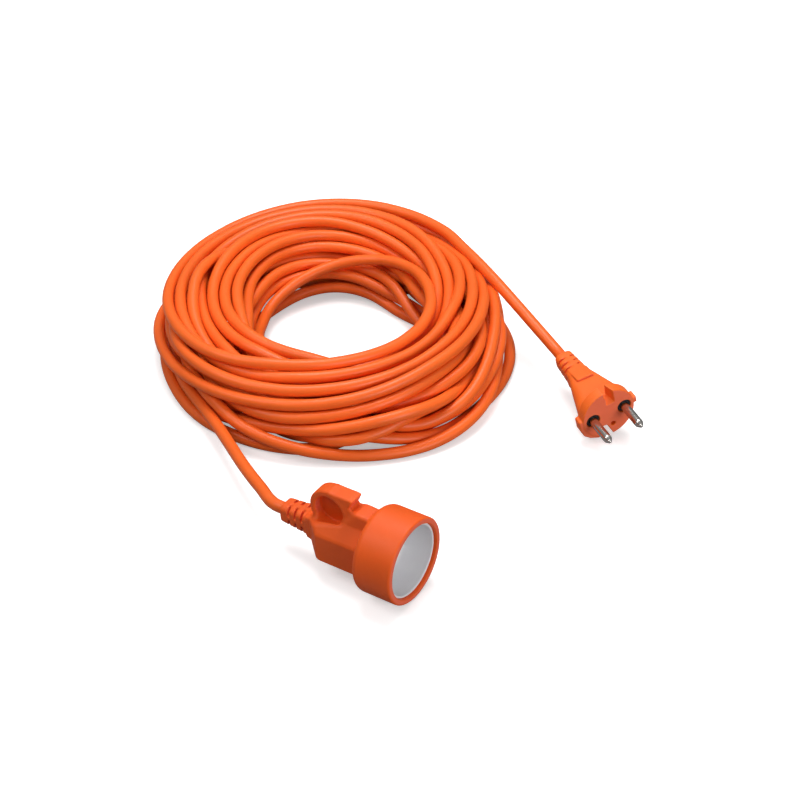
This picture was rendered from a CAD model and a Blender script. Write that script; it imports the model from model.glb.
"""Looks of a coiled extension cord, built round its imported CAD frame.

The coil lies on the floor round a vertical axis, with the plug and the socket on the side towards
-y. Tables and shapes are in millimetres from the coil's centre; SHIFT then moves them on to the
frame. The plug and the socket are modelled in their own axes: x from the cord's boot to the front
face, z upward.
"""
import itertools
import math

import bmesh
import bpy
import numpy as np
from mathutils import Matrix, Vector


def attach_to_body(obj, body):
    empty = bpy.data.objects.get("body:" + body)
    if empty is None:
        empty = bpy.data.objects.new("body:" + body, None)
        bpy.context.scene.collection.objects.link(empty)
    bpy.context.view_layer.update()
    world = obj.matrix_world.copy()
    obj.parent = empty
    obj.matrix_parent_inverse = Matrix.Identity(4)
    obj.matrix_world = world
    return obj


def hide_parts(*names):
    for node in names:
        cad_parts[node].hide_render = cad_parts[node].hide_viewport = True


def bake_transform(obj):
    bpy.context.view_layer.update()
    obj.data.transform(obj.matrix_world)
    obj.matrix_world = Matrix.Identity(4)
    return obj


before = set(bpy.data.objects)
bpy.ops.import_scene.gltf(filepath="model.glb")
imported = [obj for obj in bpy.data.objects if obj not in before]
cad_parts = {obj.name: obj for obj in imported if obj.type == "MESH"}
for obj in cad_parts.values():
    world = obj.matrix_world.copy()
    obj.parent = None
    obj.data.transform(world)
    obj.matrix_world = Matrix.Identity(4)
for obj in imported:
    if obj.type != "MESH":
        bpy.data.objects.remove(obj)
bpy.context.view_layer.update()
MM = 0.001

# ---------------------------------------------------------------- driving sizes (mm)
SHIFT = np.array([-29.965, 60.75, 0.25])  # from the coil's centre to the middle of the object
CORD_R = 3.25
PIN_OFFSET = 9.5  # from the middle of the plug or socket to each pin's axis
BOOT_LEN = 19.5
PLUG_LEN = 52.6
DISC_R, DISC_THICK = 15.5, 6.6  # the plug's front disc
SOCKET_LEN = 77.0
COLLAR_R, COLLAR_LEN, BORE_R = 22.5, 21.5, 19.3
RECESS_R, RECESS_DEPTH = 18.1, 17.0  # inside the socket's bowl

# mesh fineness
RING_STEP = 2.6
SIDES = 18
CELL_SCALE = 1.0


# ---------------------------------------------------------------- placing the two ends
def unit(vector):
    return vector / np.linalg.norm(vector)


def placement(tail, forward, side):
    """Origin and axes (as rows) of a moulded end."""
    return tail, np.stack([forward, side, np.cross(forward, side)])


UP = [0, 0, 1.0]
PLUG_X = unit(np.array([0.39579, -0.91773, -0.03354]))
PLUG_SIDE = np.array([0.89037, 0.37453, 0.25879])  # not yet square to PLUG_X
PLUG_Y = unit(PLUG_SIDE - PLUG_X * (PLUG_SIDE @ PLUG_X))
SOCKET_X = unit(np.array([0.83195, -0.55314, 0.04344]))
SOCKET_Y = unit(np.cross(UP, SOCKET_X))
PLUG_PLACE = placement(np.array([127.71, -35.88, 19.12]), PLUG_X, PLUG_Y)
SOCKET_PLACE = placement(np.array([-20.24, -165.14, 19.71]), SOCKET_X, SOCKET_Y)

# ---------------------------------------------------------------- cord centreline
# x y z in tenths of a millimetre, four points to a line, from the plug's boot to the socket's
PATH = np.array("""
1277 -359 191  1257 -313 193  1180 -196 228  1099 -78 267
1011 52 308  918 199 344  824 356 368  733 508 382
648 648 392  570 743 391  478 829 390  373 901 388
257 959 386  131 998 383  0 1017 379  -134 1016 374
-266 994 368  -394 952 360  -514 891 353  -624 813 346
-720 720 340  -802 615 337  -866 500 337  -913 378 340
-943 253 346  -957 126 355  -955 0 366  -937 -123 377
-903 -242 386  -853 -353 391  -787 -454 393  -707 -542 395
-614 -614 399  -512 -667 404  -404 -700 408  -297 -716 408
-192 -718 404  -93 -706 398  0 -684 392  86 -654 388
166 -618 384  238 -576 381  305 -528 379  365 -475 378
416 -416 379  460 -353 379  494 -285 380  518 -215 381
534 -143 381  540 -71 380  538 0 377  530 70 373
517 138 365  499 207 355  473 273 345  439 337 334
395 395 323  342 446 313  282 488 301  215 519 286
144 538 272  72 546 258  0 542 243  -69 527 227
-135 505 210  -197 476 191  -255 441 170  -307 400 148
-352 352 129  -387 297 114  -412 238 104  -428 177 101
-436 117 105  -442 58 115  -444 0 132  -444 -58 152
-440 -118 174  -432 -179 196  -419 -242 216  -399 -306 232
-373 -373 242  -337 -440 244  -290 -503 236  -232 -559 214
-162 -605 180  -84 -641 144  0 -667 117  90 -682 101
183 -682 89  276 -666 76  367 -636 61  459 -598 47
550 -550 38  632 -485 33  687 -397 33  715 -296 33
720 -193 33  705 -93 33  671 0 33  624 82 33
568 152 33  508 210 33  449 259 33  396 304 33
348 348 35  302 394 41  253 438 50  198 478 60
136 508 69  70 528 76  0 536 80  -70 532 81
-138 516 78  -203 490 73  -263 456 65  -318 414 57
-368 368 49  -415 318 42  -458 264 37  -496 206 34
-529 142 33  -554 73 33  -570 0 33  -577 -76 34
-574 -154 44  -555 -230 59  -519 -300 77  -469 -360 92
-409 -409 103  -342 -446 107  -273 -473 104  -206 -496 89
-139 -517 67  -70 -532 49  0 -536 38  70 -530 33
137 -512 33  202 -487 39  263 -455 50  317 -414 66
366 -366 86  412 -316 109  465 -268 126  526 -218 135
586 -157 138  635 -84 134  671 0 125  695 92 117
704 188 114  693 287 116  663 383 122  615 472 131
552 552 145  478 623 161  396 686 177  308 742 190
212 792 198  109 830 203  0 854 207  -113 860 208
-227 847 206  -336 812 198  -437 756 185  -525 684 167
-602 602 144  -670 514 117  -727 420 91  -774 320 69
-804 216 55  -813 107 54  -806 0 66  -798 -105 84
-797 -214 98  -792 -328 114  -770 -445 128  -716 -550 130
-634 -634 127  -535 -697 125  -425 -736 129  -315 -760 130
-208 -776 128  -104 -786 119  0 -794 103  105 -797 81
213 -796 57  326 -786 41  436 -756 34  536 -699 33
622 -622 33  693 -532 33  748 -432 33  781 -324 33
791 -212 33  779 -102 33  747 0 33  701 92 33
642 172 33  578 240 33  511 295 47  444 341 67
380 380 88  317 414 105  257 446 122  198 478 138
136 508 152  70 533 161  0 551 164  -73 558 164
-148 552 161  -221 533 159  -289 500 158  -349 455 156
-400 400 152  -440 338 144  -471 272 132  -492 204 116
-504 135 99  -504 66 81  -496 0 64  -480 -63 50
-458 -123 41  -432 -179 35  -406 -234 33  -380 -291 33
-351 -351 33  -316 -412 33  -275 -476 33  -225 -543 33
-161 -600 33  -84 -639 33  0 -658 33  87 -658 33
172 -642 34  254 -613 38  332 -576 51  407 -531 70
474 -474 89  535 -410 105  600 -347 106  668 -277 104
726 -194 120  753 -99 153  739 0 174  710 94 184
670 180 184  620 257 182  562 324 178  498 382 177
432 432 182  370 482 183  310 537 182  244 590 182
170 636 184  88 668 189  0 685 196  -90 686 204
-179 669 212  -263 635 220  -339 587 226  -407 531 231
-472 472 232  -535 410 227  -592 342 212  -637 264 178
-668 179 128  -690 91 80  -711 0 47  -729 -96 33
-723 -194 33  -686 -284 33  -630 -364 33  -570 -437 33
-507 -507 40  -443 -577 64  -371 -643 95  -284 -685 107
-190 -710 106  -95 -724 93  0 -733 72  97 -736 53
196 -731 40  298 -720 38  402 -696 49  500 -652 69
583 -583 95  634 -486 126  650 -375 158  650 -269 184
641 -172 201  621 -82 214  592 0 224  555 73 233
516 138 240  480 199 245  452 261 246  427 328 245
397 397 245  357 466 247  306 530 250  243 586 254
169 630 260  87 661 267  0 677 274  -89 676 281
-176 658 288  -258 624 292  -332 574 295  -394 513 295
-443 443 291  -480 368 285  -503 290 280  -514 213 275
-516 138 273  -513 68 272  -507 0 272  -501 -66 270
-497 -133 264  -492 -204 255  -480 -277 241  -456 -350 223
-415 -415 202  -359 -468 182  -292 -506 164  -219 -528 151
-143 -533 138  -69 -523 119  0 -503 98  63 -478 78
121 -451 61  176 -424 48  228 -396 39  280 -365 34
330 -330 33  378 -290 33  421 -243 35  458 -190 41
488 -131 52  510 -67 71  524 0 97  531 70 129
531 142 164  526 218 196  510 295 224  484 371 244
448 448 252  401 522 260  340 590 270  268 646 282
184 688 296  94 715 311  0 724 325  -94 715 337
-185 689 348  -268 648 355  -343 594 360  -408 531 362
-461 461 362  -504 387 360  -535 309 356  -556 230 353
-567 152 350  -568 75 347  -560 0 343  -547 -72 339
-531 -142 332  -513 -212 322  -493 -285 308  -471 -362 294
-443 -443 283  -403 -526 276  -348 -604 276  -277 -669 273
-192 -716 261  -99 -750 248  0 -773 240  103 -783 241
209 -778 249  313 -757 261  412 -714 276  498 -648 292
563 -563 302  610 -468 309  644 -372 318  667 -276 328
684 -183 322  694 -91 302  689 0 284  668 88 276
636 170 278  598 248 284  556 321 294  512 393 306
463 463 318  408 531 329  344 597 340  272 657 351
190 708 363  98 747 374  0 773 386  -103 782 394
-207 772 398  -308 743 399  -401 694 400  -482 628 401
-548 548 404  -601 461 406  -644 372 401  -678 281 390
-698 187 376  -706 93 364  -700 0 355  -684 -90 350
-658 -176 347  -623 -258 346  -580 -335 348  -527 -404 349
-466 -466 350  -396 -516 345  -321 -557 330  -242 -585 309
-160 -599 288  -79 -601 272  0 -593 263  76 -578 264
149 -556 269  218 -527 276  284 -491 284  344 -448 291
399 -399 297  447 -343 301  487 -281 304  520 -215 307
545 -146 310  563 -74 313  575 0 319  581 76 328
579 155 339  569 236 351  550 318 363  522 401 374
485 485 380  435 567 382  373 645 385  296 716 389
208 775 394  108 820 396  0 848 395  -113 857 392
-227 846 388  -338 816 382  -443 768 375  -539 703 365
-624 624 353  -696 534 340  -748 432 334  -776 322 336
-784 210 340  -780 103 336  -767 0 327  -745 -98 320
-716 -192 315  -679 -281 314  -635 -366 314  -584 -448 314
-527 -527 310  -462 -602 303  -388 -672 294  -303 -732 287
-208 -777 289  -105 -799 297  0 -798 305  102 -779 310
200 -746 310  292 -704 302  377 -653 284  459 -598 259
540 -540 239  620 -476 227  686 -396 216  718 -297 200
716 -192 193  695 -92 199  669 0 195  638 84 183
604 162 164  569 236 137  531 306 117  489 375 109
443 443 114  397 517 128  341 591 149  272 655 172
188 703 196  96 732 216  0 745 232  -98 745 245
-196 732 257  -293 708 269  -388 672 282  -478 623 302
-564 564 327  -640 491 354  -703 406 380  -751 311 401
-786 211 409  -807 106 400  -811 0 381  -802 -106 360
-779 -209 338  -742 -308 317  -692 -400 296  -629 -483 274
-555 -555 254  -472 -614 235  -381 -660 218  -286 -690 204
-189 -705 193  -92 -701 189  0 -678 191  85 -642 199
163 -608 214  239 -577 230  312 -541 247  382 -497 262
444 -444 275  500 -383 287  546 -315 297  583 -242 308
611 -164 318  630 -83 328  642 0 336  648 85 342
646 173 348  634 262 356  611 353 365  579 444 377
536 536 388  480 625 395  411 711 397  327 789 395
229 854 391  119 903 388  0 931 384  -124 938 380
-247 923 375  -367 887 370  -480 832 365  -583 760 360
-674 674 357  -749 575 355  -808 466 354  -849 352 356
-875 234 360  -886 117 364  -884 0 368  -869 -114 368
-841 -225 361  -800 -331 352  -745 -430 343  -678 -521 336
-600 -600 333  -512 -668 335  -416 -720 342  -312 -754 352
-206 -769 359  -101 -766 358  0 -748 356  95 -720 353
184 -685 351  266 -642 349  342 -593 348  413 -538 348
476 -476 351  531 -408 356  578 -334 364  616 -255 372
648 -174 379  676 -89 379  697 0 378  708 93 377
708 190 377  697 289 373  672 388 365  632 485 354
574 574 344  501 653 334  414 717 328  317 766 327
214 798 327  107 814 328  0 813 328  -105 795 327
-204 761 330  -295 713 339  -378 654 349  -450 587 356
-511 511 360  -560 429 360  -596 344 359  -621 257 358
-634 170 356  -638 84 354  -631 0 355  -616 -81 357
-593 -159 361  -562 -233 365  -523 -302 368  -474 -364 366
-417 -417 360  -355 -462 354  -288 -500 350  -220 -532 347
-150 -560 345  -77 -588 341  0 -613 330  84 -634 310
174 -648 284  270 -652 251  369 -639 216  461 -601 175
530 -530 121  585 -449 71  627 -362 41  648 -269 33
649 -174 33  629 -83 33  593 0 34  547 72 48
502 134 67  460 191 89  424 245 113  391 300 137
358 358 159  320 417 176  274 474 185  217 525 187
152 567 187  79 599 187  0 616 190  -81 618 197
-162 603 205  -237 572 213  -304 527 218  -362 471 221
-408 408 220  -444 340 216  -473 273 210  -499 207 202
-526 141 194  -559 74 185  -596 0 177  -636 -84 167
-673 -180 153  -700 -290 130  -710 -410 110  -679 -521 80
-617 -617 59  -539 -703 54  -447 -775 74  -342 -825 108
-226 -845 137  -111 -843 156  0 -832 172  108 -821 181
216 -804 187  321 -775 190  422 -732 185  518 -675 176
606 -606 164  688 -528 148  758 -438 128  817 -338 113
864 -232 104  903 -119 101  930 0 101  940 124 118
930 249 148  904 374 180  860 497 207  794 609 222
708 708 225  610 795 218  504 872 208  388 936 198
263 981 195  132 1005 198  0 1011 204  -131 997 209
-258 964 212  -378 914 214  -490 848 212  -589 767 209
-674 674 204  -744 571 198  -799 461 189  -839 348 179
-864 232 167  -874 115 154  -866 0 147  -840 -110 151
-798 -214 167  -744 -308 184  -678 -392 196  -601 -461 200
-518 -518 200  -432 -563 201  -345 -597 206  -259 -625 218
-175 -652 239  -90 -680 257  0 -700 258  92 -702 241
182 -678 212  260 -629 180  326 -564 152  379 -494 125
423 -423 100  462 -354 78  496 -286 65  526 -218 65
552 -148 76  576 -76 93  602 0 105  624 82 105
635 170 102  631 262 92  617 356 77  590 452 70
541 541 76  471 614 93  390 675 104  300 724 97
202 755 77  101 765 55  0 757 38  -97 734 36
-189 704 56  -278 671 99  -363 629 151  -445 580 201
-523 523 234  -600 460 251  -672 388 261  -738 306 268
-794 213 273  -841 111 283  -878 0 294  -898 -118 306
-896 -240 317  -869 -360 324  -820 -473 328  -750 -575 330
-663 -663 330  -564 -735 330  -457 -791 331  -344 -830 333
-229 -854 336  -113 -862 341  0 -854 347  110 -833 352
213 -796 355  310 -748 357  398 -690 360  479 -624 364
551 -551 371  615 -472 378  668 -386 381  710 -294 380
742 -199 378  764 -101 378  777 0 377  781 103 374
775 208 366  760 315 354  730 422 341  684 525 330
620 620 320  540 704 310  448 777 298  348 839 281
238 890 258  122 923 230  0 938 201  -124 939 172
-248 924 147  -370 893 127  -489 847 111  -604 787 101
-711 711 96  -809 621 96  -894 516 100  -963 399 108
-1009 270 119  -1029 136 131  -1025 0 144  -1002 -132 159
-965 -258 176  -916 -380 196  -856 -494 216  -782 -600 235
-693 -693 248  -591 -771 258  -482 -834 268  -366 -883 278
-245 -916 288  -123 -932 299  0 -931 312  120 -912 326
235 -877 341  343 -827 356  441 -764 369  529 -690 378
607 -607 380  674 -517 379  730 -422 377  775 -321 376
809 -217 373  831 -109 367  842 0 355  840 111 340
828 222 323  810 335 309  782 451 304  736 565 304
669 669 309  583 759 314  482 834 319  369 890 322
249 928 321  125 948 315  0 950 304  -123 937 290
-243 908 272  -356 860 255  -458 794 240  -548 714 226
-623 623 210  -682 523 200  -724 418 195  -749 310 197
-760 204 208  -759 100 221  -749 0 226  -729 -96 224
-699 -187 218  -656 -272 208  -603 -348 196  -541 -415 180
-474 -474 160  -400 -521 140  -322 -557 124  -240 -580 113
-159 -593 103  -79 -599 90  0 -601 75  78 -594 60
155 -577 48  228 -550 39  299 -518 34  371 -484 33
444 -444 33  508 -390 39  556 -321 58  599 -248 88
650 -174 105  700 -92 101  740 0 101  764 101 95
765 205 82  744 308 74  707 408 76  656 504 87
595 595 100  522 681 104  438 760 99  342 826 79
235 878 55  120 915 39  0 932 33  -122 925 33
-240 896 33  -351 848 33  -453 784 33  -544 708 33
-624 624 33  -696 534 33  -763 440 33  -828 343 33
-885 237 33  -922 121 33  -937 0 33  -926 -122 33
-897 -240 33  -855 -354 35  -803 -464 40  -740 -568 49
-666 -666 63  -578 -754 85  -477 -827 107  -367 -887 127
-252 -941 148  -130 -984 171  0 -1008 195  133 -1010 220
265 -990 242  391 -945 251  504 -873 240  596 -777 218
669 -669 200  730 -560 195  785 -453 199  829 -344 211
859 -230 227  864 -114 246  848 0 263  808 106 265
752 202 247  688 285 218  622 359 179  556 427 136
491 491 93  418 545 61  336 582 44  252 609 36
168 627 33  84 640 33  0 647 34  -85 646 37
-170 636 44  -256 618 57  -342 593 75  -428 557 92
-511 511 101  -589 452 97  -658 380 106  -716 296 121
-761 204 138  -792 104 158  -807 0 186  -809 -107 216
-802 -215 238  -779 -323 243  -741 -428 231  -691 -530 215
-630 -630 204  -558 -727 199  -471 -815 201  -368 -888 209
-252 -939 222  -126 -961 236  0 -960 249  124 -941 263
242 -905 278  353 -852 292  452 -783 304  538 -702 312
612 -612 312  671 -515 301  718 -414 281  760 -315 256
791 -212 219  818 -108 176  842 0 136  860 113 106
871 233 101  864 358 105  829 479 96  760 584 69
660 660 44  543 708 33  428 741 33  321 775 33
216 808 33  109 829 33  0 827 33  -106 805 33
-206 769 33  -299 721 33  -382 662 33  -455 593 33
-514 514 33  -560 430 33  -593 343 33  -615 255 34
-626 168 39  -629 83 49  -630 0 66  -623 -82 87
-608 -163 106  -591 -245 119  -577 -333 119  -556 -427 114
-525 -525 111  -481 -627 99  -410 -710 67  -325 -785 48
-232 -866 62  -125 -948 100  0 -1013 127  136 -1030 149
265 -990 170  380 -918 189  480 -831 187  568 -740 162
648 -648 128  726 -557 96  797 -460 71  851 -352 50
885 -237 37  899 -118 33  894 0 33  874 115 33
843 226 38  809 335 61  765 442 91  710 545 104
643 643 113  564 735 119  471 815 124  362 873 126
242 903 121  120 908 109  0 894 92  -114 869 72
-223 833 54  -325 785 40  -418 724 33  -500 652 33
-570 570 33  -627 481 34  -674 389 39  -710 294 51
-739 198 73  -758 100 97  -752 0 109  -719 -95 105
-676 -181 84  -627 -260 60  -571 -330 45  -515 -395 37
-458 -458 33  -404 -527 33  -351 -608 33  -288 -696 36
-208 -777 47  -111 -840 74  0 -875 117  118 -893 161
242 -902 162  367 -886 126  492 -852 115  610 -796 136
714 -714 169  789 -606 206  838 -484 239  871 -361 266
892 -239 287  903 -119 302  904 0 306  895 118 299
877 235 277  842 349 247  797 460 215  746 572 183
686 686 151  607 790 121  505 874 92  388 937 68
263 981 51  132 1005 40  0 1010 35  -131 995 33
-258 962 33  -378 912 33  -488 845 34  -586 764 39
-673 673 48  -745 571 64  -802 463 86  -842 349 102
-866 232 99  -876 115 86  -875 0 65  -859 -113 44
-821 -220 33  -760 -315 33  -689 -398 33  -621 -477 62
-576 -576 125  -504 -657 174  -414 -717 198  -316 -764 211
-216 -805 220  -111 -840 229  0 -864 233  114 -870 230
230 -858 227  344 -829 227  452 -783 234  554 -721 247
645 -645 261  723 -555 275  780 -450 289  811 -336 298
818 -219 301  808 -106 303  786 0 306  756 100 310
723 194 309  687 284 305  643 371 303  590 452 302
530 530 300  461 601 295  383 663 288  296 716 280
203 757 271  104 788 264  0 808 260  -107 812 259
-214 800 261  -320 772 264  -421 729 267  -516 672 271
-602 602 273  -680 522 269  -749 432 259  -806 334 247
-850 228 234  -876 115 223  -886 0 214  -881 -116 206
-862 -231 198  -832 -345 194  -794 -458 193  -743 -570 189
-678 -678 178  -600 -782 163  -508 -880 142  -395 -954 118
-269 -1004 95  -136 -1034 74  0 -1046 58  137 -1044 47
275 -1025 41  410 -990 40  540 -935 46  656 -855 57
753 -753 72  827 -634 88  877 -506 105  905 -375 128
917 -246 153  918 -121 168  910 0 168  893 118 168
863 231 172  818 339 166  759 438 160  689 528 166
611 611 172  525 684 173  431 747 166  329 795 149
221 824 137  110 838 133  0 836 138  -108 822 150
-213 794 165  -312 753 172  -403 698 169  -483 630 166
-544 544 167  -576 442 165  -589 340 139  -592 245 118
-589 158 108  -578 76 104  -561 0 102  -539 -71 93
-515 -138 79  -490 -203 63  -464 -268 47  -435 -334 37
-402 -402 33  -361 -470 33  -313 -542 33  -258 -622 33
-188 -700 33  -101 -767 33  0 -817 33  112 -850 33
231 -862 33  353 -852 44  470 -815 61  585 -762 80
694 -694 104  784 -601 135  851 -491 170  900 -373 199
929 -249 221  935 -123 235  914 0 237  872 115 233
820 220 238  764 316 262  702 406 281  642 492 284
576 576 276  500 652 266  416 720 260  322 777 260
220 823 264  113 856 274  0 872 286  -114 868 297
-228 850 306  -339 819 310  -449 778 307  -553 721 300
-648 648 293  -733 562 287  -805 465 282  -863 358 276
-906 243 269  -933 123 260  -943 0 252  -935 -123 247
-906 -243 249  -858 -356 256  -795 -459 266  -720 -553 273
-636 -636 274  -544 -709 265  -445 -772 250  -342 -826 230
-234 -872 207  -120 -913 182  0 -945 155  126 -960 128
255 -953 98  383 -925 69  505 -875 45  616 -804 34
712 -712 33  795 -610 33  867 -501 33  928 -384 33
972 -260 33  996 -131 33  998 0 33  977 129 33
935 251 33  876 363 33  801 462 33  711 546 33
607 607 33  498 648 33  387 671 33  282 681 42
184 687 60  92 700 82  0 721 100  -98 743 109
-202 753 107  -311 750 103  -426 738 104  -544 709 105
-658 658 118  -760 583 132  -843 487 137  -902 374 128
-942 252 113  -968 128 99  -982 0 87  -978 -129 77
-956 -256 66  -916 -380 55  -862 -498 45  -794 -609 38
-710 -710 34  -611 -797 33  -501 -868 33  -382 -923 33
-257 -958 33  -128 -969 33  0 -953 50  120 -910 82
225 -841 113  310 -749 126  372 -645 128  422 -550 135
478 -478 160  543 -417 194  609 -352 229  671 -278 257
724 -194 266  764 -101 249  788 0 221  790 104 193
780 209 182  756 313 191  722 417 215  679 521 234
625 625 242  557 726 245  473 820 248  372 899 253
257 958 260  131 995 266  0 1011 272  -132 1004 277
-262 976 280  -385 930 280  -501 867 277  -606 790 271
-700 700 262  -781 599 249  -846 488 233  -895 371 214
-927 248 193  -942 124 170  -942 0 149  -929 -122 130
-906 -243 116  -872 -361 108  -827 -477 106  -769 -590 109
-695 -725 113  -618 -872 119  -536 -1048 131  -446 -1250 150
-346 -1450 173  -244 -1624 195  -202 -1651 197
""".split(), float).reshape(-1, 3) / 10.0

# one inner strand is eased aside where the bundle would let the floor show through
NUDGE_MIDDLE, NUDGE_SPAN = 711, 11  # path points
NUDGE = np.array([0.0, 1.6, 1.6])
nudged = np.arange(NUDGE_MIDDLE - 5, NUDGE_MIDDLE + 6)
PATH[nudged] += (np.cos(np.pi * (nudged - NUDGE_MIDDLE) / NUDGE_SPAN) ** 2)[:, None] * NUDGE

ARC = np.concatenate([[0], np.cumsum(np.linalg.norm(np.diff(PATH, axis=0), axis=1))])
CORD_LEN = ARC[-1]
TANGENT = np.gradient(PATH, ARC, axis=0)
TANGENT[0] = -PLUG_X
TANGENT[-1] = SOCKET_X
OVERRUN = 12  # how far the cord is followed into each moulded end


def along(distance):
    """Points at distances along the cord, which runs straight on inside the moulded ends."""
    s = np.atleast_1d(np.asarray(distance, float))
    i = np.clip(np.searchsorted(ARC, s, side="right") - 1, 0, len(ARC) - 2)
    span = (ARC[i + 1] - ARC[i])[:, None]
    t = ((s - ARC[i])[:, None]) / span
    points = (
        (2 * t**3 - 3 * t**2 + 1) * PATH[i]
        + (t**3 - 2 * t**2 + t) * span * TANGENT[i]
        + (-2 * t**3 + 3 * t**2) * PATH[i + 1]
        + (t**3 - t**2) * span * TANGENT[i + 1]
    )
    points = np.where((s < 0)[:, None], PATH[0] + PLUG_X * (-s)[:, None], points)
    past_end = PATH[-1] + SOCKET_X * (s - CORD_LEN)[:, None]
    return np.where((s > CORD_LEN)[:, None], past_end, points)


def ring_frames():
    """Distance, centre, tangent and untwisted side direction of every ring of the cord."""
    count = int(round((CORD_LEN + 2 * OVERRUN) / RING_STEP))
    distance = np.linspace(-OVERRUN, CORD_LEN + OVERRUN, count)
    centre = along(distance)
    tangent = np.gradient(centre, axis=0)
    tangent /= np.linalg.norm(tangent, axis=1)[:, None]
    side = np.zeros_like(tangent)
    side[0] = unit(np.cross(tangent[0], UP))
    for k in range(1, count):
        side[k] = unit(side[k - 1] - tangent[k] * (side[k - 1] @ tangent[k]))
    return distance, centre, tangent, side


RING_DISTANCE, RING_CENTRE, RING_TANGENT, RING_SIDE = ring_frames()


# ---------------------------------------------------------------- meshes
def new_mesh(name, verts, faces, surface, place=None):
    """Smooth-shaded object; verts are in mm, in the axes of place when one is given."""
    verts = np.asarray(verts, float)
    if place is not None:
        origin, axes = place
        verts = origin + verts @ axes
    sizes = np.array([len(face) for face in faces], np.int32)
    starts = np.concatenate([[0], np.cumsum(sizes)[:-1]]).astype(np.int32)
    mesh = bpy.data.meshes.new(name)
    mesh.vertices.add(len(verts))
    mesh.vertices.foreach_set("co", ((verts + SHIFT) * MM).astype(np.float32).ravel())
    mesh.loops.add(int(sizes.sum()))
    corners = np.array(list(itertools.chain.from_iterable(faces)), np.int32)
    mesh.loops.foreach_set("vertex_index", corners)
    mesh.polygons.add(len(sizes))
    mesh.polygons.foreach_set("loop_start", starts)
    mesh.polygons.foreach_set("loop_total", sizes)
    mesh.polygons.foreach_set("use_smooth", np.full(len(sizes), True))
    mesh.update(calc_edges=True)
    mesh.validate()
    ob = bpy.data.objects.new(name, mesh)
    bpy.context.scene.collection.objects.link(ob)
    mesh.materials.append(surface)
    return ob


def tube(name, start, end):
    """Closed length of cord between two distances; lengths that meet share the same ring."""
    first, last = (int(np.argmin(abs(RING_DISTANCE - s))) for s in (start, end))
    rings = slice(first, last + 1)
    centre, side = RING_CENTRE[rings], RING_SIDE[rings]
    other = np.cross(RING_TANGENT[rings], side)
    angle = np.linspace(0, 2 * np.pi, SIDES, endpoint=False)[None, :, None]
    circle = side[:, None] * np.cos(angle) + other[:, None] * np.sin(angle)
    verts = (centre[:, None] + CORD_R * circle).reshape(-1, 3)
    last_ring = (len(centre) - 1) * SIDES
    i = np.arange(len(centre) - 1)[:, None] * SIDES
    j = np.arange(SIDES)[None]
    j_next = (j + 1) % SIDES
    quads = np.stack([i + j, i + j_next, i + SIDES + j_next, i + SIDES + j], -1)
    faces = quads.reshape(-1, 4).tolist()
    faces.append(list(range(SIDES))[::-1])
    faces.append([last_ring + k for k in range(SIDES)])
    ob = new_mesh(name, verts, faces, CORD)
    mesh = ob.data
    for cap in (len(faces) - 2, len(faces) - 1):
        mesh.polygons[cap].use_smooth = False
    # sharp rims round the flat caps
    edges = np.zeros(len(mesh.edges) * 2, np.int32)
    mesh.edges.foreach_get("vertices", edges)
    edges = edges.reshape(-1, 2)
    rim = (edges < SIDES).all(1) | (edges >= last_ring).all(1)
    sharp = mesh.attributes.get("sharp_edge") or mesh.attributes.new(
        "sharp_edge", "BOOLEAN", "EDGE")
    sharp.data.foreach_set("value", rim)
    return ob


def lathe(name, profile, surface, place, y, segments):
    """Solid turned about a line along local x; the (x, radius) profile ends on that line."""
    angles = np.linspace(0, 2 * np.pi, segments, endpoint=False)
    verts, rows = [], []
    for x, radius in profile:
        if radius == 0:
            rows.append([len(verts)])
            verts.append((x, y, 0.0))
        else:
            rows.append(list(range(len(verts), len(verts) + segments)))
            verts += [(x, y + radius * math.cos(a), radius * math.sin(a)) for a in angles]
    faces = []
    for near, far in zip(rows, rows[1:]):
        for i in range(segments):
            j = (i + 1) % segments
            if len(near) == 1:
                faces.append([near[0], far[i], far[j]])
            elif len(far) == 1:
                faces.append([near[i], far[0], near[j]])
            else:
                faces.append([near[i], far[i], far[j], near[j]])
    ob = new_mesh(name, verts, faces, surface, place)
    bm = bmesh.new()
    bm.from_mesh(ob.data)
    bmesh.ops.recalc_face_normals(bm, faces=bm.faces)
    bm.to_mesh(ob.data)
    bm.free()
    return ob


# ---------------------------------------------------------------- distance fields
# Negative inside. blend is the width over which two surfaces run into each other.
def join(a, b, blend):
    h = np.maximum(blend - np.abs(a - b), 0) / blend
    return np.minimum(a, b) - h * h * blend * 0.25


def overlap(a, b, blend):
    return -join(-a, -b, blend)


def cut(a, tool, blend):
    return overlap(a, -tool, blend)


def box2(qx, qy, rounding):
    """2-D rounded box, given as the distance past each half width."""
    qx, qy = qx + rounding, qy + rounding
    outside = np.hypot(np.maximum(qx, 0), np.maximum(qy, 0))
    return outside + np.minimum(np.maximum(qx, qy), 0) - rounding


def box(p, centre, half, rounding):
    q = [np.abs(a - c) - h + rounding for a, c, h in zip(p, centre, half)]
    outside = np.sqrt(sum(np.maximum(v, 0) ** 2 for v in q))
    return outside + np.minimum(np.maximum(np.maximum(q[0], q[1]), q[2]), 0) - rounding


def disc(p, ends, radius, rounding, y=0.0):
    """Cylinder along x between two ends."""
    middle, half = (ends[0] + ends[1]) / 2, (ends[1] - ends[0]) / 2
    return box2(np.abs(p[0] - middle) - half, np.hypot(p[1] - y, p[2]) - radius, rounding)


def extrude(outline, across, half, rounding):
    return box2(outline, np.abs(across) - half, rounding)


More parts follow.
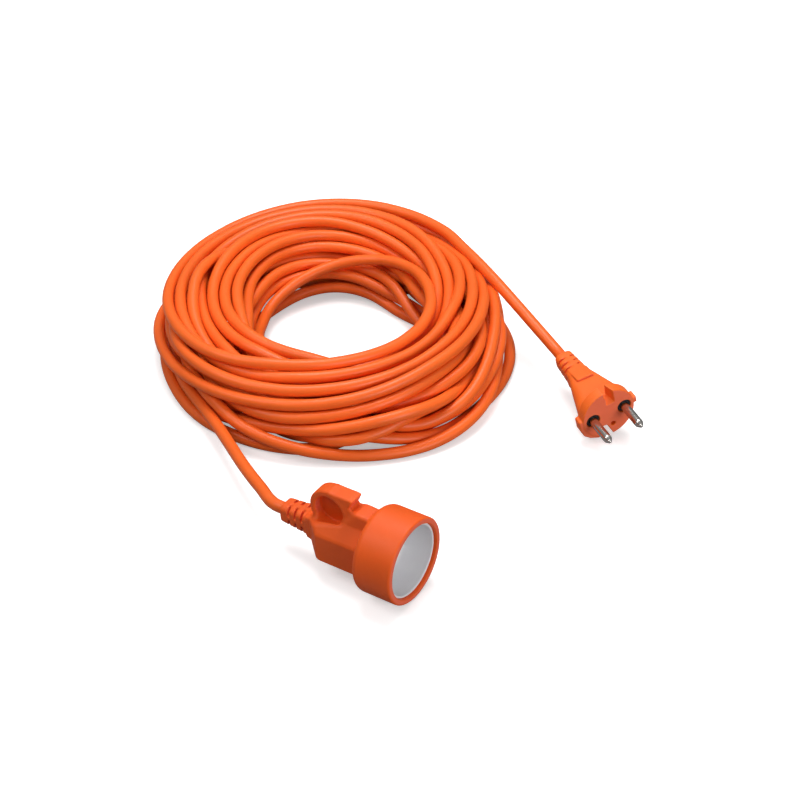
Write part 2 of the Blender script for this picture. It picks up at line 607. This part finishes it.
def polygon(u, v, outline):
    """Signed distance to a closed outline."""
    points = np.array(outline, float)
    distance = np.full(np.shape(u), 1e9)
    sign = np.ones(np.shape(u))
    for i in range(len(points)):
        a, b = points[i - 1], points[i]
        edge = b - a
        du, dv = u - a[0], v - a[1]
        t = np.clip((du * edge[0] + dv * edge[1]) / (edge @ edge), 0, 1)
        distance = np.minimum(distance, (du - edge[0] * t) ** 2 + (dv - edge[1] * t) ** 2)
        above, below, left = v >= a[1], v < b[1], edge[0] * dv > edge[1] * du
        crossed = (above & below & left) | (~above & ~below & ~left)
        sign = np.where(crossed, -sign, sign)
    return sign * np.sqrt(distance)


SLAB = 24  # grid layers sampled at a time, to save memory
PROBE = 0.05  # step for measuring a field's slope


def surface_nets(field, low, high, cell):
    """Quads over a field's zero surface, with one vertex in each cell it passes through."""
    low, high = np.array(low, float), np.array(high, float)
    size = np.ceil((high - low) / cell).astype(int) + 1
    axes = [low[k] + cell * np.arange(size[k]) for k in range(3)]
    values = np.empty(size, np.float32)
    for i in range(0, size[0], SLAB):
        grid = np.meshgrid(axes[0][i : i + SLAB], axes[1], axes[2], indexing="ij")
        values[i : i + SLAB] = field(*grid)
    inside = values < 0
    corners = list(itertools.product((0, 1), repeat=3))
    count = np.zeros(tuple(size - 1), np.int8)
    for corner in corners:
        count += inside[tuple(slice(c, n - 1 + c) for c, n in zip(corner, size))]
    cells = np.argwhere((count > 0) & (count < 8))
    index = np.full(tuple(size - 1), -1, np.int64)
    index[tuple(cells.T)] = np.arange(len(cells))

    # each vertex starts at the mean of its cell's edge crossings
    total = np.zeros((len(cells), 3))
    hits = np.zeros(len(cells))
    for corner in corners:
        for k in range(3):
            if corner[k] == 1:
                continue
            other = list(corner)
            other[k] = 1
            a = values[tuple((cells + corner).T)]
            b = values[tuple((cells + other).T)]
            crossed = (a < 0) != (b < 0)
            t = np.where(crossed, a / np.where(crossed, a - b, 1), 0)
            step = np.array(other) - np.array(corner)
            point = np.array(corner, float)[None] + t[:, None] * step[None]
            total += np.where(crossed[:, None], point, 0)
            hits += crossed
    verts = low + cell * (cells + total / hits[:, None])

    # one quad round every grid edge that crosses the surface
    quads = []
    for k in range(3):
        k1, k2 = (k + 1) % 3, (k + 2) % 3
        near, far = [slice(None)] * 3, [slice(None)] * 3
        near[k], far[k] = slice(0, -1), slice(1, None)
        near_inside = inside[tuple(near)]
        e = np.argwhere(near_inside != inside[tuple(far)])
        e = e[(e[:, k1] > 0) & (e[:, k2] > 0) & (e[:, k1] < size[k1] - 1) & (e[:, k2] < size[k2] - 1)]
        forward = near_inside[tuple(e.T)]
        ring = []
        for d1, d2 in ((1, 1), (0, 1), (0, 0), (1, 0)):
            around = e.copy()
            around[:, k1] -= d1
            around[:, k2] -= d2
            ring.append(index[tuple(around.T)])
        ring = np.stack(ring, 1)
        ring[~forward] = ring[~forward][:, ::-1]
        quads.append(ring)

    # settle the points on the true surface
    for _ in range(2):
        here = field(*verts.T)
        slope = [(field(*(verts + offset).T) - here) / PROBE for offset in PROBE * np.eye(3)]
        slope = np.stack(slope, 1)
        steepness = np.maximum((slope * slope).sum(1), 0.25)
        move = -(here / steepness)[:, None] * slope
        length = np.linalg.norm(move, axis=1)[:, None]
        verts = verts + move * np.minimum(1, 0.5 * cell / np.maximum(length, 1e-9)) * 0.9
    return verts, np.concatenate(quads)


def moulded(name, field, low, high, cell, surface, place):
    verts, quads = surface_nets(field, low, high, cell * CELL_SCALE)
    return new_mesh(name, verts, quads.tolist(), surface, place)


# ---------------------------------------------------------------- materials
def set_inputs(tree, node, values):
    """Set each input to a value, or link it when given another node's output."""
    for key, value in values.items():
        if isinstance(value, bpy.types.NodeSocket):
            tree.links.new(value, node.inputs[key])
        else:
            node.inputs[key].default_value = value


def add_node(tree, kind, inputs=None, **settings):
    node = tree.nodes.new("ShaderNode" + kind)
    for key, value in settings.items():
        setattr(node, key, value)
    set_inputs(tree, node, inputs or {})
    return node


def add_ramp(tree, factor, *stops):
    """Two-stop colour ramp; each stop is (position, colour)."""
    ramp = add_node(tree, "ValToRGB", {"Fac": factor})
    for element, (position, color) in zip(ramp.color_ramp.elements, stops):
        element.position = position
        element.color = (*color, 1)
    return ramp.outputs["Color"]


def new_material(name):
    mat = bpy.data.materials.new(name)
    mat.use_nodes = True
    return mat, mat.node_tree, mat.node_tree.nodes["Principled BSDF"]


def surface(name, base, rough, dark, mottling, grain, metal=0.0, spec=0.5, sss=0.0,
            grain_depth=0.03, rough_var=0.08, scratches=0.0):
    """Mottled, finely grained surface.

    dark scales base in the darker mottles; mottling and grain are noise scales;
    grain_depth and scratches are bump strengths; rough varies by rough_var either way.
    """
    mat, tree, shader = new_material(name)
    coords = add_node(tree, "TexCoord").outputs["Object"]
    # slow colour change over the surface
    mottles = add_node(tree, "TexNoise", {
        "Scale": mottling, "Detail": 5, "Roughness": 0.6, "Vector": coords}).outputs["Fac"]
    darker = tuple(c * dark for c in base)
    color = add_ramp(tree, mottles, (0.3, darker), (0.72, base))
    # fine specks
    specks = add_node(tree, "TexNoise", {"Scale": grain, "Detail": 4, "Vector": coords})
    # roughness follows the mean of the mottles and a middling noise
    patches = add_node(tree, "TexNoise", {"Scale": grain * 0.22, "Detail": 6, "Vector": coords})
    both = add_node(tree, "Math", {0: mottles, 1: patches.outputs["Fac"]}, operation="ADD")
    mean = add_node(tree, "Math", {0: both.outputs[0], 1: 0.5}, operation="MULTIPLY")
    roughness = add_node(tree, "MapRange", {
        "Value": mean.outputs[0], "From Min": 0.3, "From Max": 0.7,
        "To Min": rough - rough_var, "To Max": rough + rough_var})
    # worn lighter edges
    point = add_node(tree, "NewGeometry").outputs["Pointiness"]
    edge = add_node(tree, "MapRange", {"Value": point, "From Min": 0.52, "From Max": 0.62})
    wear = add_node(tree, "Math", {0: edge.outputs["Result"], 1: 0.18}, operation="MULTIPLY")
    lighter = tuple(min(1, c * 1.12 + 0.03) for c in base)
    worn = add_node(tree, "Mix", {
        "Factor": wear.outputs[0], "A": color, "B": (*lighter, 1)}, data_type="RGBA")
    # moulded grain
    normal = add_node(tree, "Bump", {
        "Strength": grain_depth, "Distance": 0.0004, "Height": specks.outputs["Fac"]})
    if scratches:
        stretched = add_node(tree, "Mapping", {"Vector": coords, "Scale": (0.15, 1.0, 1.6)})
        streaks = add_node(tree, "TexNoise", {
            "Scale": 260, "Detail": 2, "Vector": stretched.outputs["Vector"]})
        normal = add_node(tree, "Bump", {
            "Strength": scratches, "Distance": 0.0005, "Height": streaks.outputs["Fac"],
            "Normal": normal.outputs["Normal"]})
    set_inputs(tree, shader, {
        "Base Color": worn.outputs["Result"], "Metallic": metal, "Specular IOR Level": spec,
        "Roughness": roughness.outputs["Result"], "Coat Roughness": 0.3,
        "Normal": normal.outputs["Normal"]})
    if sss:
        set_inputs(tree, shader, {
            "Subsurface Weight": sss, "Subsurface Radius": (1.0, 0.25, 0.08),
            "Subsurface Scale": 0.0012})
    return mat


def tint_face(mat, axis, tint, amount):
    """Duller, slightly redder skin where the surface looks along one axis."""
    tree = mat.node_tree
    shader = tree.nodes["Principled BSDF"]
    plain = shader.inputs["Base Color"].links[0].from_socket
    normal = add_node(tree, "TexCoord").outputs["Normal"]
    facing = add_node(tree, "VectorMath", {0: normal, 1: tuple(axis)}, operation="DOT_PRODUCT")
    share = add_node(tree, "MapRange", {
        "Value": facing.outputs["Value"], "From Min": 0.82, "From Max": 0.97, "To Max": amount})
    mix = add_node(tree, "Mix", {
        "Factor": share.outputs["Result"], "A": plain, "B": (*tint, 1)}, data_type="RGBA")
    set_inputs(tree, shader, {"Base Color": mix.outputs["Result"]})


CORD = surface("cord_pvc", base=(0.92, 0.142, 0.016), rough=0.38, spec=0.32, sss=0.08, dark=0.90,
               mottling=30, grain=1500, grain_depth=0.05, rough_var=0.07, scratches=0.06)
PLUG = surface("plug_pvc", base=(0.95, 0.162, 0.020), rough=0.46, spec=0.28, sss=0.08, dark=0.90,
               mottling=60, grain=1800, grain_depth=0.10, rough_var=0.06, scratches=0.03)
SOCKET = surface("socket_pvc", base=(0.84, 0.108, 0.012), rough=0.48, spec=0.26, sss=0.08,
                 dark=0.90, mottling=55, grain=1800, grain_depth=0.10, rough_var=0.06,
                 scratches=0.03)
INSERT = surface("insert_grey", base=(0.80, 0.80, 0.82), rough=0.38, spec=0.45, sss=0.03,
                 dark=0.93, mottling=45, grain=1400, grain_depth=0.05, rough_var=0.05)
tint_face(PLUG, PLUG_X, tint=(0.93, 0.17, 0.085), amount=0.8)
tint_face(SOCKET, SOCKET_X, tint=(0.80, 0.14, 0.075), amount=0.75)
BLACK = surface("bridge_black", base=(0.012, 0.012, 0.013), rough=0.33, dark=0.6, mottling=80,
                grain=1500, grain_depth=0.06)
NICKEL = surface("nickel", base=(0.58, 0.55, 0.52), rough=0.15, metal=1.0, dark=0.88,
                 mottling=300, grain=2400, rough_var=0.06, scratches=0.08)
BRASS = surface("brass", base=(0.72, 0.47, 0.14), rough=0.3, metal=1.0, dark=0.8, mottling=120,
                grain=1500)
COPPER = surface("copper", base=(0.78, 0.33, 0.16), rough=0.35, metal=1.0, dark=0.75,
                 mottling=600, grain=2600)
BROWN = surface("core_brown", base=(0.10, 0.035, 0.014), rough=0.4, dark=0.85, mottling=100,
                grain=1500)
BLUE = surface("core_blue", base=(0.02, 0.09, 0.36), rough=0.4, dark=0.85, mottling=100,
               grain=1500)
CARRIER = surface("carrier_ivory", base=(0.62, 0.59, 0.5), rough=0.45, dark=0.9, mottling=60,
                  grain=1200)

# material of each CAD piece by a word in its name; the first match counts
FRAME_MATERIALS = {
    "strand": COPPER, "core_brown": BROWN, "core_blue": BLUE, "contact": BRASS, "carrier": CARRIER}
for node_name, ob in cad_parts.items():
    matches = [mat for word, mat in FRAME_MATERIALS.items() if word in node_name]
    ob.data.materials.clear()
    ob.data.materials.append(matches[0] if matches else CORD)


# ---------------------------------------------------------------- cord
def attach(ob, bone, cad_piece):
    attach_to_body(ob, bone)
    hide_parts(cad_piece)


# distances along the cord, from the coil outward: joints that bend, and cuts between pieces
PLUG_BENDS = [41.0, 29.0, 17.0, 5.0]
PLUG_CUTS = [48.0, 35.0, 23.0, 11.0, -11.0]
SOCKET_BENDS = [CORD_LEN - back for back in (44.0, 31.0, 18.0, 5.0)]
SOCKET_CUTS = [CORD_LEN - back for back in (52.0, 37.5, 24.5, 11.5, -11.0)]
BEND_REACH = [5.0, 5.0, 5.0, 4.5]  # half the length over which each joint bends

attach(tube("cord_coil", PLUG_CUTS[0], SOCKET_CUTS[0]), "coil", "cable_coil")
for end, bends, cuts, outward in (
    ("plug", PLUG_BENDS, PLUG_CUTS, -1),
    ("socket", SOCKET_BENDS, SOCKET_CUTS, 1),
):
    for i, (bend, reach) in enumerate(zip(bends, BEND_REACH)):
        piece = tube(f"{end}_cord_{i + 1}", *sorted((cuts[i], cuts[i + 1])))
        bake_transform(piece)
        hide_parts(f"{end}_lead_{i + 1}" if i < 3 else f"{end}_cord_end")


# ---------------------------------------------------------------- shared boot
def boot(x, y, z, tail, front, turn=0.0):
    """Tapered boot with three rings of four notches; tail and front are (half y, half z)."""
    t = np.clip(x / BOOT_LEN, 0, 1)
    half_y, half_z = (a + (b - a) * t for a, b in zip(tail, front))
    d = box2(np.abs(y) - half_y, np.abs(z) - half_z, rounding=3.0)
    d = overlap(d, np.abs(x - BOOT_LEN / 2) - BOOT_LEN / 2, blend=1.2)
    for i in range(3):
        notch_x = 5.4 + i * 4.2
        depth = 4.35 + 0.25 * i  # from the axis to the notch's floor
        for quarter in range(4):
            angle = math.radians(45 + 90 * quarter + turn)
            c, s = math.cos(angle), math.sin(angle)
            u, v = y * c + z * s, -y * s + z * c
            lean = 0.10 * v * (1 if quarter % 2 else -1)
            notch = box((x - lean, v, u), (notch_x, 0, depth + 2.4), (0.62, 3.3, 2.4), rounding=0.2)
            d = cut(d, notch, blend=0.35)
    return d


def cut_cord_hole(d, p):
    return cut(d, disc(p, ends=(-4, 12.3), radius=CORD_R + 0.02, rounding=0.1), blend=0.25)


# ---------------------------------------------------------------- plug shell
DISC_BACK = PLUG_LEN - DISC_THICK
# (y, z) outlines of the wing beside the disc and of the slot below its middle
WING = [(-10, 2.6), (-10, -3), (-5.2, -6), (-5.2, -14.9), (-8, -14.7), (-12.8, -12.1),
        (-16, -8.7), (-17.4, -4), (-17.4, 2.0), (-16.8, 2.6)]
SLOT = [(-8.2, -20), (-6.6, -9), (-5.4, -7.2), (-2.8, -7.2), (-1.9, -8.2), (0.6, -16), (1.8, -20)]
# stations along x, then the size at each
PLUG_HALF_Y = [16, 20, 26, 38, 43, 48], [6.3, 6.6, 8.6, 12.3, 13.8, 14.0]
PLUG_HALF_Z = [16, 21, 47], [5.4, 5.6, 8.2]
PLUG_ROUNDING = [20, 32, 40, 46], [2.6, 4.8, 6.2, 6.6]
PAD_HALF_Z = [14, 19, 27.7], [5.6, 6.3, 7.8]
PAD_Y = 0.3
GROOVE_Y = 0.9
GROOVE_LEAN = 0.1925  # sideways drift of the groove's deep part per mm of x


def plug_field(x, y, z):
    p = (x, y, z)
    d = boot(x, y, z, tail=(5.1, 4.9), front=(6.3, 5.8), turn=-13.0)
    half_y, half_z = np.interp(x, *PLUG_HALF_Y), np.interp(x, *PLUG_HALF_Z)
    body = box2(np.abs(y) - half_y, np.abs(z) - half_z, np.interp(x, *PLUG_ROUNDING))
    body = overlap(body, np.abs(x - 32) - 15, blend=1.0)
    d = join(d, body, blend=1.0)
    # raised pad that carries the boot on to the body, above and below
    pad = box2(np.abs(y - PAD_Y) - 4.9, np.abs(z) - np.interp(x, *PAD_HALF_Z), rounding=0.7)
    pad = overlap(pad, np.abs(x - 21) - 6.8 - 0.10 * (y - PAD_Y), blend=0.5)
    d = join(d, pad, blend=0.3)
    d = join(d, disc(p, (DISC_BACK, PLUG_LEN), DISC_R, rounding=0.8), blend=1.0)
    # lug on the +y side, wing on the -y side
    lug = box(p, centre=(DISC_BACK + 3.1, 15.2, 0.15), half=(2.8, 2.2, 1.95), rounding=0.45)
    d = join(d, lug, blend=0.5)
    wing = overlap(polygon(y, z, WING), np.abs(x - (DISC_BACK + 3.2)) - 2.9, blend=0.9)
    d = join(d, wing, blend=0.6)
    # keying groove on top, deep at the front
    groove = box(p, centre=(DISC_BACK + 2, GROOVE_Y, 16.5), half=(12, 2.0, 4.6), rounding=0.4)
    d = cut(d, groove, blend=0.4)
    across = y - GROOVE_Y - GROOVE_LEAN * (x - (PLUG_LEN - 6.5))
    below = overlap(9.0 - z - 0.42 * (x - 46.4), 46.0 - x, blend=0.3)
    deep = overlap(np.abs(across) - 1.7 - 0.12 * (x - 46), below, blend=0.4)
    d = cut(d, deep, blend=0.4)
    # lower slot, open to the rim, and the small hole beside it
    d = cut(d, overlap(polygon(y, z, SLOT), (DISC_BACK - 3.5) - x, blend=0.4), blend=0.4)
    hole = disc(p, (PLUG_LEN - 5, PLUG_LEN + 3), radius=8.4, rounding=0.2)
    hole = disc((x, y, z + 8.4), (PLUG_LEN - 5, PLUG_LEN + 3), radius=1.45, rounding=0.2, y=1.3)
    d = cut(d, hole, blend=0.25)
    for side in (-1, 1):
        seat = disc(p, (50.3, PLUG_LEN + 3), radius=4.0, rounding=0.1, y=side * PIN_OFFSET)
        d = cut(d, seat, blend=0.35)
    d = cut_cord_hole(d, p)
    # room for the pin bridge
    d = cut(d, box(p, (44.2, 0, 0), half=(2.6, 12.4, 3.7), rounding=0.2), blend=0.2)
    return cut(d, box(p, (48.5, 0, 0), half=(1.9, 12.9, 4.6), rounding=0.2), blend=0.2)


plug = moulded("plug_body", plug_field, low=(-1, -18.8, -17), high=(54.2, 18.8, 17), cell=0.34,
               surface=PLUG, place=PLUG_PLACE)
attach(plug, "plug_end", "plug_shell")


# ---------------------------------------------------------------- pin bridge and pins
def bridge_field(x, y, z):
    p = (x, y, z)
    plate = box(p, (48.5, 0, 0), half=(1.6, 12.7, 4.4), rounding=0.5)
    block = box(p, (45, 0, 0), half=(3.1, 12.2, 3.5), rounding=0.5)
    d = join(plate, block, blend=0.2)
    for side in (-1, 1):
        pin_y = side * PIN_OFFSET
        d = join(d, disc(p, (48.5, PLUG_LEN - 0.7), 3.75, rounding=0.25, y=pin_y), blend=0.2)
        d = cut(d, disc(p, (38.4, PLUG_LEN + 2), 2.48, rounding=0.0, y=pin_y), blend=0.15)
    return d


bridge = moulded("pin_bridge", bridge_field, low=(40, -14.5, -6), high=(53.5, 14.5, 6), cell=0.32,
                 surface=BLACK, place=PLUG_PLACE)
attach(bridge, "plug_end", "plug_pin_bridge")

PIN_TIP = PLUG_LEN + 19
NOSE_LEN, NOSE_R, NOSE_STEPS = 1.1, 1.25, 8  # rounded nose at the tip
# (distance back from the tip, radius), then (x, radius) to the hollow tail
PIN_TAPER = [(1.7, 1.75), (2.6, 2.2), (3.1, 2.34), (3.8, 2.4), (4.2, 2.4)]
PIN_TAIL = [(43.2, 2.4), (43.0, 2.4), (42.8, 2.36), (42.4, 2.1), (42.2, 2.1), (37.95, 2.1),
            (37.9, 2.05), (37.9, 1.05), (37.95, 1.0), (41.35, 1.0), (41.4, 0.95), (41.4, 0)]
pin_profile = [(PIN_TIP, 0)]
for k in range(1, NOSE_STEPS + 1):
    angle = k / NOSE_STEPS * math.pi / 2
    pin_profile.append((PIN_TIP - NOSE_LEN * (1 - math.cos(angle)), NOSE_R * math.sin(angle)))
pin_profile += [(PIN_TIP - back, radius) for back, radius in PIN_TAPER] + PIN_TAIL
for sign, side in ((-1, "left"), (1, "right")):
    pin = lathe(f"pin_{side}", pin_profile, NICKEL, PLUG_PLACE, y=sign * PIN_OFFSET, segments=56)
    attach(pin, "plug_end", f"plug_pin_{side}")

# ---------------------------------------------------------------- socket shell
COLLAR_BACK = SOCKET_LEN - COLLAR_LEN - 1.5
# body outlines from the side (x, z), from above (x, y) and end on (y, z)
BODY_SIDE = [(16.5, -6.4), (20, -6.9), (29.5, -12), (58, -12), (58, 18.6), (50, 19.4),
             (47, 19.2), (44.5, 17), (40, 12.4), (28, 9.6), (21, 7.3), (16.5, 6.4)]
BODY_PLAN = [(16.5, -6.4), (20, -7.0), (28, -14), (58, -14), (58, 14), (28, 14), (20, 7.0),
             (16.5, 6.4)]
BODY_SECTION = [(-14, -10.4), (-12.2, -12), (12.2, -12), (14, -10.4), (14, 4.8), (6.8, 13.2),
                (4.6, 19.6), (-4.6, 19.6), (-6.8, 13.2), (-14, 4.8)]
# bar between the ring and the collar, with a hook (x, z)
BAR = [(30.4, 10), (30.4, 26.0), (42.8, 26.1), (44.6, 25.6), (45.1, 24.4), (44.4, 23.0),
       (43.4, 22.0), (42.6, 20.8), (43.6, 19.5), (46.0, 19.2), (56.5, 18.4), (57, 4), (36, 4)]
RING_X, RING_Z, RING_OUTER_R, RING_HOLE_R = 30.4, 14.4, 11.6, 8.3
PLATE_HALF = 4.5  # half thickness of the ring and the bar


def socket_field(x, y, z):
    p = (x, y, z)
    d = boot(x, y, z, tail=(5.3, 5.1), front=(6.5, 6.3))
    body = overlap(polygon(x, z, BODY_SIDE), polygon(x, y, BODY_PLAN), blend=1.6)
    body = overlap(body, polygon(y, z, BODY_SECTION), blend=1.6)
    d = join(d, body, blend=1.2)
    from_ring = np.hypot(x - RING_X, z - RING_Z)
    ring = extrude(from_ring - RING_OUTER_R, y, PLATE_HALF, rounding=1.4)
    bar = extrude(polygon(x, z, BAR), y, PLATE_HALF, rounding=1.3)
    d = join(d, join(ring, bar, blend=0.8), blend=3.2)
    # a recess from each side; a thin web closes the ring
    recess = overlap(from_ring - RING_HOLE_R, 1.0 - np.abs(y - 1.0), blend=0.9)
    d = cut(d, overlap(recess, np.abs(y) - 7.2, blend=1.5), blend=1.1)
    # the hook's open notch
    notch = np.hypot((x - 46.6) / 1.15, z - 22.9) - 2.4
    d = cut(d, extrude(notch, y, half=12, rounding=0.3), blend=0.8)
    # collar, its back edge bevelled
    collar = disc(p, (COLLAR_BACK, SOCKET_LEN), COLLAR_R, rounding=1.3)
    bevel = (np.hypot(y, z) - (COLLAR_R - 2.6)) * 0.62 - (x - COLLAR_BACK) * 0.78
    d = join(d, overlap(collar, bevel, blend=1.6), blend=0.7)
    d = cut(d, disc(p, (55.2, SOCKET_LEN + 4), BORE_R, rounding=0.1), blend=0.7)
    d = cut_cord_hole(d, p)
    # room for the contact carrier behind the bowl
    return cut(d, box(p, (47, 0, 0), half=(9.6, 12.6, 5.3), rounding=0.3), blend=0.3)


socket = moulded("socket_body", socket_field, low=(-1, -24, -24), high=(78.5, 24, 28.5),
                 cell=0.42, surface=SOCKET, place=SOCKET_PLACE)
attach(socket, "socket_end", "socket_shell")

# ---------------------------------------------------------------- socket bowl
BOWL_RIM = SOCKET_LEN - 1.8
BOWL_FLOOR = BOWL_RIM - RECESS_DEPTH


def bowl_field(x, y, z):
    p = (x, y, z)
    d = disc(p, (BOWL_FLOOR - 2.6, BOWL_RIM), BORE_R - 0.05, rounding=0.5)
    d = cut(d, disc(p, (BOWL_FLOOR, SOCKET_LEN + 4), RECESS_R, rounding=2.2), blend=0.45)
    # holes in the floor, in line with the pins
    for side in (-1, 1):
        hole = disc(p, (BOWL_FLOOR - 5, BOWL_FLOOR + 3), 2.75, rounding=0.1, y=side * PIN_OFFSET)
        d = cut(d, hole, blend=0.5)
    # fine moulding line down the bowl
    line = box(p, (SOCKET_LEN - 10, -RECESS_R, 2.0), half=(12, 0.5, 0.12), rounding=0.02)
    return cut(d, line, blend=0.12)


bowl = moulded("socket_bowl", bowl_field, low=(54.5, -20.5, -20.5), high=(76.5, 20.5, 20.5),
               cell=0.34, surface=INSERT, place=SOCKET_PLACE)
attach(bowl, "socket_end", "socket_insert")


# ---------------------------------------------------------------- floor, light, camera (m)
def floor_material():
    """Pale sweep: bright to the camera, softer in what it throws back on the object."""
    mat, tree, shader = new_material("floor_pale")
    noise = add_node(tree, "TexNoise", {"Scale": 3.0}).outputs["Fac"]
    pale = add_ramp(tree, noise, (0.0, (0.90, 0.90, 0.90)), (1.0, (0.93, 0.93, 0.93)))
    seen = add_node(tree, "LightPath").outputs["Is Camera Ray"]
    color = add_node(tree, "Mix", {
        "Factor": seen, "A": (0.24, 0.235, 0.235, 1), "B": pale}, data_type="RGBA")
    # the glow grows with distance from the middle
    position = add_node(tree, "NewGeometry").outputs["Position"]
    distance = add_node(tree, "VectorMath", {0: position}, operation="LENGTH").outputs["Value"]
    sweep = add_node(tree, "MapRange", {
        "Value": distance, "From Min": 0.35, "From Max": 1.0, "To Min": 0.42, "To Max": 1.0})
    glow = add_node(tree, "Math", {0: seen, 1: sweep.outputs["Result"]}, operation="MULTIPLY")
    set_inputs(tree, shader, {
        "Base Color": color.outputs["Result"], "Roughness": 0.9, "Specular IOR Level": 0.1,
        "Emission Color": (1, 1, 1, 1), "Emission Strength": glow.outputs[0]})
    return mat


def build_floor(half=3.0):
    mesh = bpy.data.meshes.new("floor")
    corners = [(-half, -half, 0), (half, -half, 0), (half, half, 0), (-half, half, 0)]
    mesh.from_pydata(corners, [], [(0, 1, 2, 3)])
    floor = bpy.data.objects.new("floor", mesh)
    bpy.context.scene.collection.objects.link(floor)
    mesh.materials.append(floor_material())


def build_world():
    """White to the camera; for other rays, grey that brightens upward."""
    world = bpy.data.worlds.new("studio")
    bpy.context.scene.world = world
    world.use_nodes = True
    tree = world.node_tree
    seen = add_node(tree, "LightPath").outputs["Is Camera Ray"]
    direction = add_node(tree, "TexCoord").outputs["Generated"]
    height = add_node(tree, "SeparateXYZ", {"Vector": direction}).outputs["Z"]
    grey = add_ramp(tree, height, (0.0, (0.06, 0.06, 0.06)), (0.75, (0.42, 0.42, 0.42)))
    strength = add_node(tree, "Mix", {"Factor": seen, "A": grey, "B": 1.0}, data_type="FLOAT")
    set_inputs(tree, tree.nodes["Background"], {
        "Color": (1, 1, 1, 1), "Strength": strength.outputs["Result"]})


def disc_light(name, location, target, size, power):
    light = bpy.data.lights.new(name, "AREA")
    light.shape = "DISK"
    light.size = size
    light.energy = power
    ob = bpy.data.objects.new(name, light)
    bpy.context.scene.collection.objects.link(ob)
    ob.location = location
    aim = Vector(target) - Vector(location)
    ob.rotation_euler = aim.to_track_quat("-Z", "Y").to_euler()


def build_camera(distance, elevation):
    """Camera on the -y side, looking down at the elevation angle."""
    camera = bpy.data.cameras.new("camera")
    camera.lens = 76.5
    camera.sensor_width = 36
    ob = bpy.data.objects.new("camera", camera)
    bpy.context.scene.collection.objects.link(ob)
    target = Vector((0.0365, -0.049, 0.0)) + Vector(SHIFT * MM)
    ob.location = target - distance * Vector((0, math.cos(elevation), -math.sin(elevation)))
    ob.rotation_euler = (math.radians(90) - elevation, 0, 0)
    bpy.context.scene.camera = ob


build_floor()
build_world()
disc_light("top", location=(0.0, 0.30, 1.15), target=(0.0, 0.03, 0.0), size=0.7, power=10.0)
disc_light("key", location=(-0.75, -0.25, 0.95), target=(0.0, 0.0, 0.0), size=0.55, power=3.6)
disc_light("fill", location=(0.85, -1.05, 0.42), target=(0.05, -0.02, 0.0), size=0.7, power=8.5)
build_camera(distance=0.95, elevation=math.radians(37.0))
bpy.context.scene.view_settings.view_transform = "Standard"
bpy.context.scene.view_settings.look = "None"
